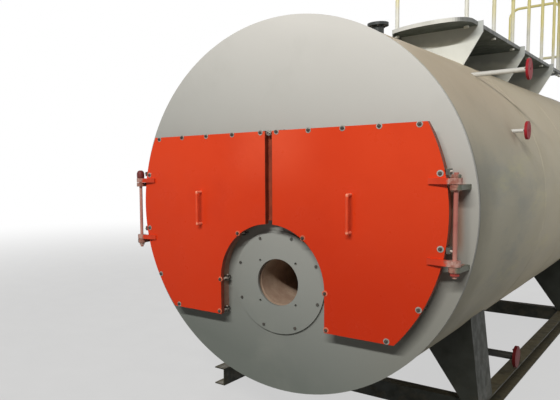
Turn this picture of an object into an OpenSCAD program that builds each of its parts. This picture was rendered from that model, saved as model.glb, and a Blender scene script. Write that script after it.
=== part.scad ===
// Horizontal fire-tube boiler with a round front plate, two hinged smokebox doors,
// a walkway deck on the shell and four legs on a floor frame.
// Millimetres. +Z up, front plate faces -Y, +X to the right seen from the front.
// The origin is on the floor, under the middle of the shell.

/* [Shell] */
// Length from the front plate's face to the rear plate's back
body_len = 5200; // [4800:50:5800]
// Radius of the round front and rear plates
plate_r = 1100; // [1040:5:1160]
// How far the plates stand out past the insulated shell
plate_lip = 5; // [4:1:15]
// Height of the shell's axis above the floor
axis_z = 1408; // [1380:1:1500]
// Thickness of the front and rear plates
plate_t = 24; // [16:1:30]
// Thickness of the insulated shell wall
jacket_t = 50; // [40:1:60]

/* [Smokebox doors] */
// Width of the front plate that shows round the doors' curved edge
door_margin = 102; // [90:1:110]
// Height of the doors' top edge above the shell's axis
door_top = 445; // [410:5:480]
// Depth of the doors' lower edge below the shell's axis
door_drop = 668; // [640:1:690]
// How far the doors' front face stands out from the front plate
door_stand = 106; // [100:1:118]
// Thickness of a door's folded rim
door_t = 30; // [24:1:34]
// Half of the gap between the two doors
seam_half = 22; // [14:1:24]
// Radius of the arch that the doors leave round the burner plate
arch_r = 354; // [340:1:370]
// Height of the handles
handle_h = 214; // [160:2:260]

/* [Hinges] */
// Distance of each hinge pin from the doors' curved edge
pin_out = 33; // [32:1:38]
// Radius of a hinge pin
pin_r = 10.5; // [9:0.5:14]
// Radius of the bosses round the pin
boss_r = 27; // [24:1:28]
// Height of the upper hinge above the shell's axis
hinge_up = 162; // [150:1:180]
// Depth of the lower hinge below the shell's axis
hinge_down = 222; // [205:1:240]

/* [Burner] */
// Depth of the burner's axis below the shell's axis
burner_drop = 443; // [435:1:450]
// Radius of the burner plate
burner_plate_r = 308; // [300:1:320]
// Radius of the burner opening
burner_hole_r = 140; // [120:1:145]
// Bolt circle of the burner flange
burner_pcd = 346; // [330:2:360]
// Radius of the burner flange's bolt holes
burner_bolt_r = 8; // [6:0.5:10]

/* [Walkway] */
// Distance of the deck's inner edge from the middle plane
deck_in = 110; // [100:5:160]
// Width of the deck
deck_w = 545; // [500:1:600]
// Distance of the deck's front edge behind the front plate's face
deck_front = 1276; // [1240:1:1300]
// Length of the deck
deck_len = 3457; // [3300:1:3520]
// Height of the deck's surface above the shell's crown
deck_rise = 109; // [100:1:180]
// Plan radius of the deck's arched front edge
deck_arc = 583; // [540:1:700]
// Plan radius of the deck's rounded outer corner
deck_corner = 150; // [120:5:180]
// Height of the railing above the deck
rail_h = 776; // [720:2:1100]
// Radius of the railing tube
rail_r = 14; // [12:1:18]
// Distance between the railing's posts
post_pitch = 575; // [500:5:580]

/* [Legs and frame] */
// How far the legs' feet stand inside the shell's widest line
leg_inset = 203; // [190:1:230]
// How far the legs' outer faces lean in from the foot to the shell
leg_lean = 62; // [20:1:70]
// Depth of a leg from front to back
leg_depth = 300; // [260:5:340]
// Distance of the front legs' middle behind the front plate's face
leg_front = 1035; // [1000:5:1080]
// Height of the floor frame's beams
beam_h = 130; // [120:1:140]
// Width of the floor frame's beams
beam_w = 90; // [80:1:110]

/* [Connections] */
// Length of the upper side pipe and flange outside the shell
upper_pipe_len = 328; // [300:2:400]
// Distance of the upper side pipe behind the front plate's face
upper_pipe_y = 1172; // [1120:2:1400]
// Height of the upper side pipe above the shell's axis
upper_pipe_z = 812; // [780:2:860]
// Length of the lower side pipe and flange outside the shell
lower_pipe_len = 90; // [80:1:140]
// Distance of the lower side pipe behind the front plate's face
lower_pipe_y = 1010; // [960:2:1100]
// Height of the lower side pipe above the shell's axis
lower_pipe_z = 432; // [400:1:480]
// Radius of the upper side flange
upper_flange_r = 65; // [55:1:75]
// Radius of the lower side flange
lower_flange_r = 54; // [45:1:65]
// Thickness of the side flanges
side_flange_t = 15; // [12:1:22]
// Radius of the bore in the upper side pipe
upper_bore_r = 9.5; // [8:0.5:11]
// Radius of the bore in the lower side pipe
lower_bore_r = 7; // [5:0.5:8]
// Distance of the drain behind the front plate's face
drain_y = 1760; // [1700:5:1850]
// Height of the drain's axis above the floor
drain_z = 242; // [220:1:250]
// Radius of the drain flange
drain_flange_r = 78; // [70:1:85]
// Radius of the bore in the flue outlet
flue_r = 175; // [150:5:190]
// Height of the flue outlet above the shell's axis
flue_up = 560; // [520:5:600]
// Length of the flue outlet behind the rear plate
flue_len = 150; // [120:5:200]

/* [Hidden] */
front_y = -body_len / 2;
plate_gap = 0.3;
jacket_r = plate_r - plate_lip;
door_r = plate_r - door_margin;
pin_x = door_r + pin_out;
deck_z = jacket_r + deck_rise;
deck_out = deck_in + deck_w;
leg_x = jacket_r - leg_inset;
burner_z = -burner_drop;
frame_inset = 20;
frame_wall = 12;
frame_lip = 36;
door_gap = 6;
door_skin = 8;
rim_wall = 8;
lining_clear = 16;
lining_inset = frame_inset + frame_lip + lining_clear;
lining_back = 48;
frame_front = door_stand - door_t - door_gap;
mullion_half = 56;
tube_plate_y = 210;
tube_plate_t = 22;
furnace_r = 400;
furnace_wall = 16;
furnace_short = 600;
tube_r = 30;
tube_pitch = 108;
tube_row = 94;
tube_edge = 90;
tube_off = 66;
tube_level = 40;
tube_side = 70;
inner_r = jacket_r - jacket_t;
pin_y = -door_stand - 10;
boss_h = 28;
lug_t = 24;
lug_gap = 3;
fit_gap = 0.05;
arm_tip_t = 10;
arm_len = 129;
pin_top = hinge_up + boss_h / 2 + 26;
pin_bottom = -hinge_down - boss_h / 2 - lug_gap - lug_t - 26;
deck_t = 6;
rim_h = 28;
rim_t = 6;
skirt_h = 30;
support_t = 8;
support_top = deck_z - deck_t;
support_out = 35;
support_taper = 134;
support_sink = 20;
support_tab = 78;
support_first = 264;
support_one = deck_front + support_first;
support_pitch = 1250;
rail_edge = rim_t + rail_r + plate_gap;
rail_front = 144;
rail_bend = 100;
rail_low = 190;
rail_apart = 120;
post_first = 748;
leg_web = 12;
leg_foot = 88;
leg_reach = 322;
leg_top_x = leg_x - leg_reach;
leg_rise = 200;
beam_out = 2;
beam_end = 500;
tie_w = 100;
tie_t = 12;
drain_r = 26;
drain_start = 100;
drain_out = 4;
drain_flange_t = 20;
upper_pipe_r = 15;
lower_pipe_r = 11;
pipe_sink = 16;
stub_wall = 8;
flue_flange_w = 60;
flue_flange_t = 12;
nozzle_x = 115;
nozzle_y = 1115;
nozzle_r = 32;
nozzle_flange_r = 72;
nozzle_flange_t = 20;
nozzle_h = 135;
cut_len = 400;
round_fn = 240;
small_fn = 40;

// Moves to the shell's axis, a given distance behind the front plate's face
module behind(y) {
    translate([0, front_y + y, axis_z]) children();
}

// Stands a flat outline up in the front view, from depth y towards the viewer by h
module facing(y, h) {
    behind(y) rotate([90, 0, 0]) linear_extrude(height = h) children();
}

// Outline of the smokebox, a round plate cut level at the top and bottom with an arch
module smokebox_outline(inset) {
    low = -door_drop + inset;
    difference() {
        intersection() {
            circle(r = door_r - inset, $fn = round_fn);
            translate([-door_r, low]) square([2 * door_r, door_top - inset - low]);
        }
        translate([0, burner_z]) circle(r = arch_r + inset, $fn = round_fn);
        translate([-arch_r - inset, burner_z - door_r]) square([2 * (arch_r + inset), door_r]);
    }
}

// Right-hand half of the smokebox outline
module door_outline(inset) {
    intersection() {
        smokebox_outline(inset);
        translate([seam_half + inset, -door_r]) square([door_r, 2 * door_r]);
    }
}

// Outline of the post behind the seam of the doors, which stands in the plate's opening
module seam_post(inset) {
    intersection() {
        smokebox_outline(inset);
        translate([-mullion_half, -plate_r]) square([2 * mullion_half, 2 * plate_r]);
    }
}

module front_plate() {
    color("#c9cbc8") facing(plate_t, plate_t) difference() {
        circle(r = plate_r, $fn = round_fn);
        smokebox_outline(frame_inset + frame_wall);
        translate([0, burner_z]) circle(r = burner_plate_r - 60, $fn = round_fn);
    }
}

module smokebox_frame() {
    lip_t = 14;
    color("#77786c") {
        facing(0, frame_front) difference() {
            smokebox_outline(frame_inset);
            smokebox_outline(frame_inset + frame_wall);
        }
        facing(-frame_front + lip_t, lip_t) difference() {
            smokebox_outline(frame_inset);
            smokebox_outline(frame_inset + frame_lip);
        }
        facing(0, frame_front) seam_post(frame_inset);
        facing(plate_t, plate_t + 1) seam_post(frame_inset + frame_wall + plate_gap);
    }
}

// True where a tube of the staggered pattern fits between the shell and the furnace
function tube_fits(x, z) =
    norm([x, z]) < inner_r - tube_edge
    && norm([x, z - burner_z]) > furnace_r + tube_off
    && z < door_top - tube_level
    && z > -door_drop + tube_level
    && abs(x) > tube_side;

module tube_plate() {
    color("#8d8a84") facing(tube_plate_y + tube_plate_t, tube_plate_t) difference() {
        circle(r = inner_r - plate_gap, $fn = round_fn);
        translate([0, burner_z]) circle(r = furnace_r + plate_gap, $fn = round_fn);
        for (row = [-7 : 5], col = [-9 : 9]) {
            x = (col + (row % 2 == 0 ? 0 : 0.5)) * tube_pitch;
            z = row * tube_row;
            if (tube_fits(x, z)) translate([x, z]) circle(r = tube_r, $fn = small_fn);
        }
    }
}

module furnace_tube() {
    back = body_len - furnace_short;
    color("#6b5a50") facing(back, back - plate_t - plate_gap) translate([0, burner_z])
        difference() {
            circle(r = furnace_r, $fn = round_fn);
            circle(r = furnace_r - furnace_wall, $fn = round_fn);
        }
}

module burner_throat() {
    outer = furnace_r - furnace_wall - plate_gap;
    depth = 520;
    flare = 80;
    color("#a98c74") behind(plate_t + plate_gap) translate([0, 0, burner_z]) rotate([-90, 0, 0])
        rotate_extrude($fn = round_fn) polygon([
            [burner_hole_r, 0], [outer, 0], [outer, depth], [burner_hole_r + flare, depth],
            [burner_hole_r, depth - flare]
        ]);
}

module burner_plate() {
    thick = 16;
    color("#c3c5c2") facing(-plate_gap, thick) translate([0, burner_z]) difference() {
        circle(r = burner_plate_r, $fn = round_fn);
        circle(r = burner_hole_r, $fn = round_fn);
        for (a = [45 : 90 : 315])
            rotate(a) translate([burner_pcd / 2, 0]) circle(r = burner_bolt_r, $fn = small_fn);
    }
}

module door_body() {
    color("#d8451f") {
        facing(-door_stand + door_skin, door_skin) door_outline(0);
        facing(-door_stand + door_t, door_t) difference() {
            door_outline(0);
            door_outline(rim_wall);
        }
    }
}

module door_right() {
    door_body();
}

module door_left() {
    mirror([1, 0, 0]) door_body();
}

module lining_body() {
    color("#cfc4ad") facing(-lining_back, door_stand - door_skin - plate_gap - lining_back)
        door_outline(lining_inset);
}

module lining_right() {
    lining_body();
}

module lining_left() {
    mirror([1, 0, 0]) lining_body();
}

module handle_body() {
    reach = 42;
    bar_r = 8;
    handle_x = 505;
    mid_z = -9;
    half = handle_h / 2 - bar_r;
    color("#c8401f") translate([handle_x, front_y - door_stand, axis_z + mid_z]) {
        for (s = [-1, 1]) translate([0, 0, s * half]) {
            rotate([90, 0, 0]) cylinder(r = bar_r, h = reach, $fn = small_fn);
            translate([0, -reach, 0]) sphere(r = bar_r, $fn = small_fn);
        }
        translate([0, -reach, -half]) cylinder(r = bar_r, h = 2 * half, $fn = small_fn);
    }
}

module handle_right() {
    handle_body();
}

module handle_left() {
    mirror([1, 0, 0]) handle_body();
}

// Tapered bar on the door's face that ends in a bored boss round the hinge pin
module arm_body(z) {
    face = -door_stand - plate_gap;
    color("#d04a22") translate([0, front_y, axis_z + z - boss_h / 2]) difference() {
        linear_extrude(height = boss_h) union() {
            circle_at_pin(boss_r);
            polygon([
                [pin_x - arm_len, face], [pin_x - arm_len, face - arm_tip_t], [pin_x, pin_y - boss_r],
                [pin_x, pin_y + boss_r], [door_r + 2, face]
            ]);
        }
        pin_bore(boss_h);
    }
}

module circle_at_pin(r) {
    translate([pin_x, pin_y]) circle(r = r, $fn = small_fn);
}

// Running bore for the hinge pin, from the underside of a boss or lug
module pin_bore(h) {
    translate([0, 0, -1]) linear_extrude(height = h + 2) circle_at_pin(pin_r + fit_gap);
}

module arm_right_upper() {
    arm_body(hinge_up);
}

module arm_right_lower() {
    arm_body(-hinge_down);
}

module arm_left_upper() {
    mirror([1, 0, 0]) arm_body(hinge_up);
}

module arm_left_lower() {
    mirror([1, 0, 0]) arm_body(-hinge_down);
}

// Lug welded to the front plate that carries the pin just below a boss
module bracket_body(z) {
    base_in = pin_x - 10;
    base_out = pin_x + 34;
    color("#6d7378") translate([0, front_y, axis_z + z - boss_h / 2 - lug_gap - lug_t]) difference() {
        linear_extrude(height = lug_t) union() {
            circle_at_pin(boss_r);
            polygon([
                [pin_x - boss_r, pin_y], [pin_x + boss_r, pin_y],
                [base_out, -plate_gap], [base_in, -plate_gap]
            ]);
        }
        pin_bore(lug_t);
    }
}

module bracket_right_upper() {
    bracket_body(hinge_up);
}

module bracket_right_lower() {
    bracket_body(-hinge_down);
}

module bracket_left_upper() {
    mirror([1, 0, 0]) bracket_body(hinge_up);
}

module bracket_left_lower() {
    mirror([1, 0, 0]) bracket_body(-hinge_down);
}

module pin_body() {
    color("#b8685c") translate([pin_x, front_y + pin_y, axis_z + pin_bottom])
        cylinder(r = pin_r, h = pin_top - pin_bottom, $fn = small_fn);
}

module pin_right() {
    pin_body();
}

module pin_left() {
    mirror([1, 0, 0]) pin_body();
}

module shell_jacket() {
    color("#9c927e") facing(body_len - plate_t - plate_gap, body_len - 2 * (plate_t + plate_gap))
        difference() {
            circle(r = jacket_r, $fn = round_fn);
            circle(r = inner_r, $fn = round_fn);
        }
}

module rear_plate() {
    color("#b9bbb8") facing(body_len, plate_t) difference() {
        circle(r = plate_r, $fn = round_fn);
        translate([0, flue_up]) circle(r = flue_r, $fn = round_fn);
    }
}

module rear_cover() {
    cover_r = 420;
    cover_t = 60;
    color("#b0b2af") facing(body_len + cover_t + plate_gap, cover_t) translate([0, burner_z / 2])
        circle(r = cover_r, $fn = round_fn);
}

// Short duct with a flange, open through the upper part of the rear plate
module flue_outlet() {
    start = plate_gap;
    color("#55595a") behind(body_len + start) translate([0, 0, flue_up]) rotate([-90, 0, 0]) difference() {
        union() {
            cylinder(r = flue_r + stub_wall, h = flue_len, $fn = round_fn);
            translate([0, 0, flue_len - flue_flange_t])
                cylinder(r = flue_r + flue_flange_w, h = flue_flange_t, $fn = round_fn);
        }
        translate([0, 0, -1]) cylinder(r = flue_r, h = flue_len + 2, $fn = round_fn);
    }
}

// Flanged nozzle on the crown of the shell, in front of the walkway
module top_nozzle() {
    low = jacket_r - pipe_sink;
    top = jacket_r + nozzle_h;
    color("#3d4244") behind(nozzle_y) difference() {
        translate([nozzle_x, 0, 0]) union() {
            translate([0, 0, low]) cylinder(r = nozzle_r + stub_wall, h = top - low, $fn = small_fn);
            translate([0, 0, top - nozzle_flange_t])
                cylinder(r = nozzle_flange_r, h = nozzle_flange_t, $fn = small_fn);
        }
        rotate([90, 0, 0]) cylinder(r = jacket_r + plate_gap, h = cut_len, center = true, $fn = round_fn);
        translate([nozzle_x, 0, low - 1]) cylinder(r = nozzle_r, h = top, $fn = small_fn);
    }
}

// Points of an arc in plan, by its middle, radius and angles from straight forward
function arc_points(mid, r, from, to, steps) =
    [for (i = [0 : steps]) let (a = from + (to - from) * i / steps) mid + r * [sin(a), -cos(a)]];

// Plan outline of the deck, with an arched front edge and a rounded outer corner
module deck_outline(inset) {
    mid = [deck_in + 0.6 * deck_w, deck_front + deck_arc];
    corner_x = deck_out - deck_corner;
    corner_dx = corner_x - mid[0];
    corner_dy = sqrt(pow(deck_arc - deck_corner, 2) - pow(corner_dx, 2));
    meet = asin(corner_dx / (deck_arc - deck_corner));
    r = deck_arc - inset;
    first = -asin((mid[0] - deck_in - inset) / r);
    end_y = deck_front + deck_len - inset;
    polygon(concat(
        arc_points(mid, r, first, meet, 16),
        arc_points([corner_x, mid[1] - corner_dy], deck_corner - inset, meet + 6, 90, 12),
        [[deck_out - inset, end_y], [deck_in + inset, end_y]]
    ));
}

module deck() {
    color("#8b8f8d") translate([0, front_y, axis_z + deck_z - deck_t]) {
        linear_extrude(height = deck_t) deck_outline(0);
        linear_extrude(height = rim_h) difference() {
            deck_outline(0);
            deck_outline(rim_t);
        }
        translate([0, 0, -skirt_h]) linear_extrude(height = skirt_h) intersection() {
            deck_outline(0);
            translate([deck_in, deck_front]) square([rim_t, deck_len]);
        }
    }
}

// Transverse plate that carries the deck on the shell, with a slanted outer end and an upright tab
module support_body(y) {
    in_x = deck_in + rim_t + plate_gap;
    out_x = deck_out + support_out;
    foot_x = out_x - support_taper;
    foot_z = sqrt(pow(jacket_r, 2) - pow(foot_x, 2)) - support_sink;
    top = support_top - plate_gap;
    tab_x = deck_out + plate_gap;
    tab_z = support_top + rim_h + 3;
    color("#d8d5ca") facing(y + support_t / 2, support_t) difference() {
        polygon([
            [in_x, top], [in_x, foot_z], [foot_x, foot_z], [out_x, tab_z - support_tab],
            [out_x, tab_z], [tab_x, tab_z], [tab_x, top]
        ]);
        circle(r = jacket_r + plate_gap, $fn = round_fn);
    }
}

module support_front() {
    support_body(support_one);
}

module support_middle() {
    support_body(support_one + support_pitch);
}

module support_rear() {
    support_body(support_one + 2 * support_pitch);
}

// Places the railing on the deck, measured from the front plate's face
module on_deck() {
    color("#e6dfae") translate([0, front_y, axis_z + deck_z + plate_gap]) children();
}

module post(x, y, h) {
    translate([x, y, 0]) cylinder(r = rail_r, h = h, $fn = small_fn);
}

// Level tube along the walkway
module tube_along(x, y, z, h) {
    translate([x, y, z]) rotate([-90, 0, 0]) cylinder(r = rail_r, h = h, $fn = small_fn);
}

// Level tube across the walkway
module tube_across(x, y, z, h) {
    translate([x, y, z]) rotate([0, 90, 0]) cylinder(r = rail_r, h = h, $fn = small_fn);
}

// Quarter of a bent tube in the level plane, from the -Y side to the +X side of its middle
module tube_bend() {
    size = rail_bend + 2 * rail_r;
    intersection() {
        rotate_extrude($fn = small_fn) translate([rail_bend, 0]) circle(r = rail_r, $fn = small_fn);
        translate([0, -size, -size]) cube([size, size, 2 * size]);
    }
}

module railing_right() {
    x = deck_out - rail_edge;
    y0 = deck_front + rail_front + rail_bend;
    last = deck_front + deck_len - rail_edge - rail_apart;
    on_deck() {
        for (y = [deck_front + post_first : post_pitch : last - post_pitch / 4]) post(x, y, rail_h);
        tube_along(x, y0, rail_h, last - rail_bend - y0);
        translate([x, last - rail_bend, rail_h - rail_bend]) rotate([-90, 0, 90]) tube_bend();
        post(x, last, rail_h - rail_bend);
    }
}

module railing_front() {
    x0 = deck_in + rail_edge;
    bend_x = deck_out - rail_edge - rail_bend;
    y = deck_front + rail_front;
    reach = rail_bend * sqrt(0.5);
    on_deck() {
        post(x0, y, rail_h);
        translate([x0, y, rail_h]) sphere(r = rail_r, $fn = small_fn);
        tube_across(x0, y, rail_h, bend_x - x0);
        translate([bend_x, y + rail_bend, rail_h]) tube_bend();
        post(bend_x + reach, y + rail_bend - reach, rail_h);
    }
}

// Hoop of bent tube across the rear end of the walkway, with a low rail
module railing_rear() {
    x0 = deck_in + rail_edge;
    x1 = deck_out - rail_edge;
    y = deck_front + deck_len - rail_edge;
    top = rail_h - rail_bend;
    on_deck() {
        for (x = [x0, x1]) post(x, y, top);
        translate([x0 + rail_bend, y, top]) rotate([-90, 0, 180]) tube_bend();
        translate([x1 - rail_bend, y, top]) rotate([90, 0, 0]) mirror([0, 1, 0]) tube_bend();
        tube_across(x0 + rail_bend, y, rail_h, x1 - x0 - 2 * rail_bend);
        tube_across(x0, y, rail_low, x1 - x0);
    }
}

// Half width of the shell at a height above its axis
function shell_x(z) = sqrt(pow(jacket_r, 2) - pow(z, 2));

// Level pipe from the shell on the right-hand side, up to its flange
module side_pipe(y, z, len, r, bore) {
    start = shell_x(z) - pipe_sink;
    end = shell_x(z) + len - side_flange_t - plate_gap;
    color("#e8e6e0") behind(y) difference() {
        translate([start, 0, z]) rotate([0, 90, 0]) cylinder(r = r, h = end - start, $fn = small_fn);
        rotate([90, 0, 0]) cylinder(r = jacket_r + plate_gap, h = cut_len, center = true, $fn = round_fn);
        translate([start - 1, 0, z]) rotate([0, 90, 0]) cylinder(r = bore, h = end, $fn = small_fn);
    }
}

// Round flange at the end of a side pipe
module side_flange(y, z, len, r, bore) {
    color("#b23a35") behind(y) translate([shell_x(z) + len - side_flange_t, 0, z]) rotate([0, 90, 0])
        difference() {
            cylinder(r = r, h = side_flange_t, $fn = round_fn);
            translate([0, 0, -1]) cylinder(r = bore, h = side_flange_t + 2, $fn = small_fn);
        }
}

module side_pipe_upper() {
    side_pipe(upper_pipe_y, upper_pipe_z, upper_pipe_len, upper_pipe_r, upper_bore_r);
}

module side_flange_upper() {
    side_flange(upper_pipe_y, upper_pipe_z, upper_pipe_len, upper_flange_r, upper_bore_r);
}

module side_pipe_lower() {
    side_pipe(lower_pipe_y, lower_pipe_z, lower_pipe_len, lower_pipe_r, lower_bore_r);
}

module side_flange_lower() {
    side_flange(lower_pipe_y, lower_pipe_z, lower_pipe_len, lower_flange_r, lower_bore_r);
}

module drain_pipe() {
    end = leg_x + drain_out - plate_gap;
    low = drain_z - axis_z;
    color("#3b4040") behind(drain_y) difference() {
        union() {
            translate([drain_start, 0, low]) rotate([0, 90, 0])
                cylinder(r = drain_r, h = end - drain_start, $fn = small_fn);
            translate([drain_start, 0, low]) cylinder(r = drain_r, h = -low, $fn = small_fn);
            translate([drain_start, 0, low]) sphere(r = drain_r, $fn = small_fn);
        }
        rotate([90, 0, 0]) cylinder(r = jacket_r + plate_gap, h = cut_len, center = true, $fn = round_fn);
    }
}

module drain_flange() {
    color("#b23a35") translate([leg_x + drain_out, front_y + drain_y, drain_z]) rotate([0, 90, 0])
        cylinder(r = drain_flange_r, h = drain_flange_t, $fn = round_fn);
}

// Leg of two tapered webs and a leaning outer plate, from the floor beam up to the shell
module leg_body(y) {
    base = beam_h + plate_gap - axis_z;
    seat_z = -sqrt(pow(jacket_r + plate_gap, 2) - pow(leg_x - leg_lean, 2));
    high = seat_z + leg_rise;
    high_x = leg_x - leg_lean * (high - base) / (seat_z - base);
    seat_in_z = -sqrt(pow(jacket_r + plate_gap, 2) - pow(leg_top_x, 2));
    color("#4c5354") {
        for (s = [-1, 1]) facing(y + s * (leg_depth - leg_web) / 2 + leg_web / 2, leg_web) difference() {
            polygon([
                [leg_x - leg_foot, base], [leg_x, base], [high_x, high],
                [leg_top_x, seat_in_z + leg_rise], [leg_top_x, seat_in_z]
            ]);
            circle(r = jacket_r + plate_gap, $fn = round_fn);
        }
        facing(y + leg_depth / 2, leg_depth) difference() {
            polygon([[leg_x - leg_web, base], [leg_x, base], [high_x, high], [high_x - leg_web, high]]);
            circle(r = jacket_r + plate_gap, $fn = round_fn);
        }
    }
}

module leg_front_right() {
    leg_body(leg_front);
}

module leg_front_left() {
    mirror([1, 0, 0]) leg_body(leg_front);
}

module leg_rear_right() {
    leg_body(body_len - leg_front);
}

module leg_rear_left() {
    mirror([1, 0, 0]) leg_body(body_len - leg_front);
}

// Channel section with its web on the inside
module channel_section(w, h) {
    wall = 8;
    difference() {
        square([w, h]);
        translate([wall, wall]) square([w, h - 2 * wall]);
    }
}

module beam_body() {
    length = body_len - 2 * beam_end;
    color("#4c5354") translate([leg_x + beam_out - beam_w, length / 2, 0]) rotate([90, 0, 0])
        linear_extrude(height = length) channel_section(beam_w, beam_h);
}

module beam_right() {
    beam_body();
}

module beam_left() {
    mirror([1, 0, 0]) beam_body();
}

module cross_body(y) {
    half = leg_x + beam_out - beam_w - plate_gap;
    color("#4c5354") translate([-half, front_y + y, 0]) rotate([90, 0, 90])
        linear_extrude(height = 2 * half) translate([-beam_w / 2, 0]) channel_section(beam_w, beam_h);
}

module cross_front() {
    cross_body(leg_front);
}

// Flat tie bar on the floor between the beams
module cross_middle() {
    half = leg_x + beam_out - beam_w - plate_gap;
    color("#4c5354") translate([-half, -tie_w / 2, 0]) cube([2 * half, tie_w, tie_t]);
}

module cross_rear() {
    cross_body(body_len - leg_front);
}

front_plate();
smokebox_frame();
tube_plate();
furnace_tube();
burner_plate();
burner_throat();
door_left();
door_right();
lining_left();
lining_right();
handle_left();
handle_right();
arm_left_upper();
arm_left_lower();
arm_right_upper();
arm_right_lower();
bracket_left_upper();
bracket_left_lower();
bracket_right_upper();
bracket_right_lower();
pin_left();
pin_right();
shell_jacket();
rear_plate();
rear_cover();
flue_outlet();
top_nozzle();
deck();
support_front();
support_middle();
support_rear();
railing_right();
railing_front();
railing_rear();
side_pipe_upper();
side_flange_upper();
side_pipe_lower();
side_flange_lower();
drain_pipe();
drain_flange();
leg_front_left();
leg_front_right();
leg_rear_left();
leg_rear_right();
beam_left();
beam_right();
cross_front();
cross_middle();
cross_rear();
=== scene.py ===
"""Looks of the industrial fire-tube boiler: paints, fasteners, small fittings, light and camera.

Everything is in metres in the part's own frame: the origin on the floor under the middle of
the shell, the front plate facing -Y, +X to the right as seen from the front.
"""

import math

import bmesh
import bpy
from mathutils import Matrix, Vector


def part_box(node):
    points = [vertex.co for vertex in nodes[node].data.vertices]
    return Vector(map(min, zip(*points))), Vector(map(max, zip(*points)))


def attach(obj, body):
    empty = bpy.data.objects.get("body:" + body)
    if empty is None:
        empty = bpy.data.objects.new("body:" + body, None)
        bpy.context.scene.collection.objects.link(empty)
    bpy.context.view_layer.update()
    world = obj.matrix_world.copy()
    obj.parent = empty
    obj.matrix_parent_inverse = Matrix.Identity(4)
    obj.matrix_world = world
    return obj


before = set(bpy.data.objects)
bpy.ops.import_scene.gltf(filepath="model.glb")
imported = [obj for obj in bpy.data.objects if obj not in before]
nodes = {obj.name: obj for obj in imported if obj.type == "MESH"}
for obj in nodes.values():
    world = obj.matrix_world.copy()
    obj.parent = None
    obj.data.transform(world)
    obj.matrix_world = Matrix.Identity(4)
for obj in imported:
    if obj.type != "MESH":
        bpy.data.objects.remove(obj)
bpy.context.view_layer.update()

# Places that most pieces are set out from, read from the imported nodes
plate_low, plate_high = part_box("front_plate")
FRONT_Y = plate_low.y
AXIS_Z = (plate_low.z + plate_high.z) / 2
REAR_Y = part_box("rear_plate")[1].y
JACKET_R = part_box("shell_jacket")[1].x
BURNER_Z = (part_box("burner_plate")[0].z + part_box("burner_plate")[1].z) / 2
BURNER_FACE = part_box("burner_plate")[0].y
DOOR_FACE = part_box("door_right")[0].y
DOOR_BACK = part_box("door_right")[1].y
FRAME_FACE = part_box("smokebox_frame")[0].y
PIN_X = (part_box("pin_right")[0].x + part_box("pin_right")[1].x) / 2
PIN_Y = (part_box("pin_right")[0].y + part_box("pin_right")[1].y) / 2
DECK_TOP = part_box("deck")[1].z

# Thickness of the front plate and of the walkway's floor
PLATE_T = 0.024
DECK_T = 0.006

UP = Vector((0, 0, 1))
FORWARD = Vector((0, -1, 0))
BACK = Vector((0, 1, 0))
RIGHT = Vector((1, 0, 0))


# Tools for materials


def linear(colour):
    """Linear colour of a screen colour given in 0 to 255."""
    out = []
    for v in colour:
        v /= 255.0
        out.append(v / 12.92 if v <= 0.04045 else ((v + 0.055) / 1.055) ** 2.4)
    return (*out, 1.0)


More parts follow.
